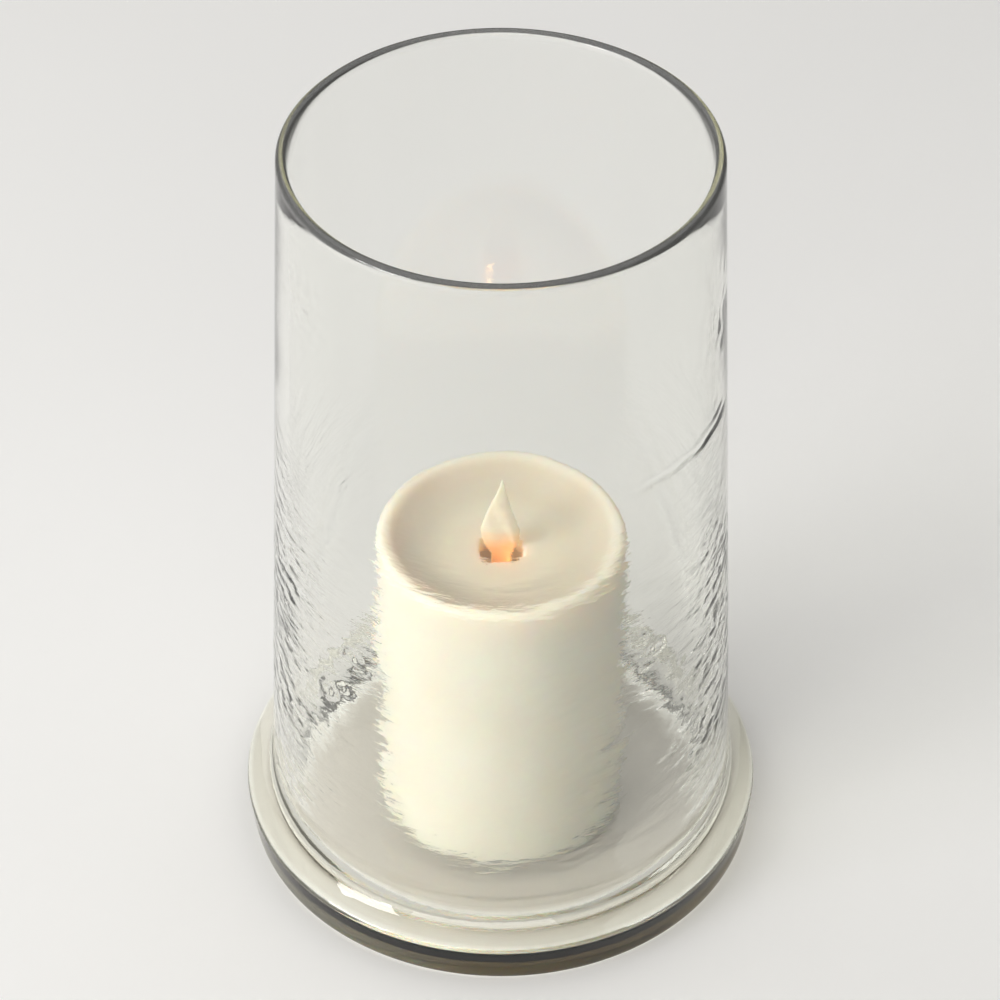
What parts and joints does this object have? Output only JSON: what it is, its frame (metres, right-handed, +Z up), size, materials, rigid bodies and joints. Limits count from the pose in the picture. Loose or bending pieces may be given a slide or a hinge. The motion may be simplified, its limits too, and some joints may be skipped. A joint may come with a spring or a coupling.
{
  "type": "candle lantern",
  "caption": "Tall clear hurricane glass with a flared thick foot, rippled lower wall and an ivory flameless pillar candle with a swinging flame inside.",
  "frame": {"origin": "centre of the underside of the glass foot", "axes": "+Z up along the glass's axis, -Y towards the front, where the flame's flat face looks"},
  "size_m": [0.1621, 0.1622, 0.25],
  "materials": {
    "clear_glass": "clear hand-blown soda-lime glass, rippled below, faint grey-green tint",
    "ivory_wax": "smooth ivory paraffin wax, satin and slightly translucent",
    "white_plastic": "moulded white ABS, satin",
    "ivory_plastic": "moulded ivory ABS, fine spark-eroded grain",
    "black_plastic": "moulded black nylon, satin",
    "nickel_plate": "nickel-plated spring steel, bright",
    "screw_steel": "zinc-plated steel",
    "cell_jacket": "plain printed-film jacket on a steel can, gloss",
    "board_laminate": "green solder-masked glass-epoxy laminate",
    "capacitor_can": "dark sleeve on an aluminium can, gloss",
    "resistor_ceramic": "dark glazed ceramic chip with tinned ends",
    "copper_wire": "enamelled copper wire, close wound",
    "flame_film": "translucent cream polypropylene leaf",
    "magnet_nickel": "nickel-plated neodymium",
    "lamp_epoxy": "warm-tinted clear epoxy lamp",
    "red_insulation": "red PVC insulation",
    "black_insulation": "black PVC insulation"
  },
  "bodies": {
    "vessel": {"hurricane_glass": "clear_glass"},
    "candle": {"aa_cell_front": "cell_jacket", "aa_cell_rear": "cell_jacket", "base_plate": "ivory_plastic", "base_screws": "screw_steel", "battery_box": "white_plastic", "board_screws": "screw_steel", "chip_resistor_1": "resistor_ceramic", "chip_resistor_2": "resistor_ceramic", "chip_resistor_3": "resistor_ceramic", "circuit_board": "board_laminate", "coil_bobbin": "white_plastic", "coil_driver": "black_plastic", "coil_winding": "copper_wire", "control_chip": "black_plastic", "core_sleeve": "white_plastic", "flame_tower": "white_plastic", "led_holder": "white_plastic", "led_leg_1": "nickel_plate", "led_leg_2": "nickel_plate", "negative_contact": "nickel_plate", "pivot_wire": "screw_steel", "positive_contact": "nickel_plate", "smoothing_capacitor": "capacitor_can", "switch_body": "black_plastic", "switch_lead_front": "black_insulation", "switch_lead_rear": "red_insulation", "timing_crystal": "nickel_plate", "warm_led": "lamp_epoxy", "wax_shell": "ivory_wax"},
    "flame": {"flame_paddle": "flame_film", "flame_magnet": "magnet_nickel"},
    "switch": {"switch_knob": "black_plastic"},
    "cover": {"battery_cover": "ivory_plastic", "bridge_contact": "nickel_plate"}
  },
  "joints": [
    {"name": "candle_lift", "type": "slide", "parent": "vessel", "child": "candle", "axis": [0, 0, 1], "range_m": [0, 0.26]},
    {"name": "flame_swing", "type": "hinge", "parent": "candle", "child": "flame", "pos_m": [0, 0, 0.096], "axis": [0, 1, 0], "range_deg": [-10, 10]},
    {"name": "power_switch", "type": "slide", "parent": "candle", "child": "switch", "axis": [0, 1, 0], "range_m": [-0.002, 0.002]},
    {"name": "battery_cover_twist", "type": "hinge", "parent": "candle", "child": "cover", "pos_m": [-0.007, 0, 0.0078], "axis": [0, 0, 1], "range_deg": [0, 30]}
  ]
}
